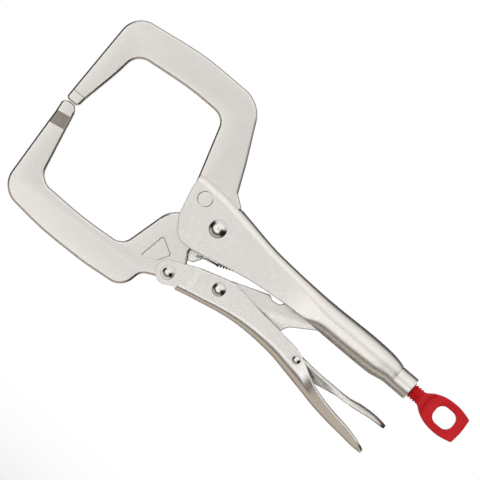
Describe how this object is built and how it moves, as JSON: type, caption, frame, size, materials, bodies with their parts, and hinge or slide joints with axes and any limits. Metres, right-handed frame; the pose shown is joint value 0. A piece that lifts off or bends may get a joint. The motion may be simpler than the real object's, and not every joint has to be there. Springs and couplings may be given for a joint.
{
  "type": "locking c clamp",
  "caption": "Locking C clamp with forged jaws, a pressed toggle handle, a release lever and a loop-ended adjusting screw.",
  "frame": {"origin": "middle of the clamp's bounding box when it is closed and locked, which lies on its mid-plane", "axes": "+X from the jaw pads through the main pivot to the adjusting screw, +Z towards the fixed jaw's side, +Y across the clamp's thickness"},
  "size_m": [0.279, 0.0188, 0.1278],
  "materials": {
    "satin_sheet": "satin nickel plate on pressed sheet",
    "satin_forging": "bead-blasted nickel plate on a forging",
    "polished_steel": "polished",
    "spring_steel": "oiled wire",
    "red_coat": "semi-gloss red coat"
  },
  "bodies": {
    "handle": {"handle": "satin_sheet", "fixed_jaw": "satin_forging", "fixed_jaw_pin": "polished_steel", "main_pivot_rivet": "polished_steel", "opening_spring": "spring_steel"},
    "moving_jaw": {"moving_jaw": "satin_forging"},
    "lever": {"lever": "satin_sheet", "lever_rivet": "polished_steel", "link_rivet": "polished_steel", "release_rivet": "polished_steel"},
    "toggle_link": {"toggle_link": "satin_forging"},
    "release_lever": {"release_lever": "satin_sheet"},
    "screw_feed": {"thrust_pin": "spring_steel"},
    "screw": {"adjusting_screw": "red_coat"}
  },
  "joints": [
    {"name": "jaw_pivot", "type": "hinge", "parent": "handle", "child": "moving_jaw", "pos_m": [-0.03065, 0, -0.00287], "axis": [0, -1, 0], "range_deg": [0, 24], "deforming": ["opening_spring"]},
    {"name": "lever_pivot", "type": "hinge", "parent": "moving_jaw", "child": "lever", "pos_m": [-0.03605, 0, -0.03807], "axis": [0, -1, 0], "range_deg": [-72, 0]},
    {"name": "link_pivot", "type": "hinge", "parent": "lever", "child": "toggle_link", "pos_m": [-0.00925, 0, -0.02718], "axis": [0, -1, 0], "range_deg": [0, 70]},
    {"name": "release_pivot", "type": "hinge", "parent": "lever", "child": "release_lever", "pos_m": [0.04685, 0, -0.02908], "axis": [0, 1, 0], "range_deg": [0, 10]},
    {"name": "screw_slide", "type": "slide", "parent": "handle", "child": "screw_feed", "axis": [1, 0, 0], "range_m": [0, 0.02406]},
    {"name": "screw_turn", "type": "hinge", "parent": "screw_feed", "child": "screw", "pos_m": [0.09525, 0, -0.00137], "axis": [1, 0, 0], "range_deg": [0, 4950]}
  ],
  "couplings": [
    {"joint": "lever_pivot", "follows": "jaw_pivot", "ratio": -2.94},
    {"joint": "link_pivot", "follows": "jaw_pivot", "ratio": 2.85},
    {"joint": "screw_turn", "follows": "screw_slide", "rad_per_m": 3590.4}
  ]
}
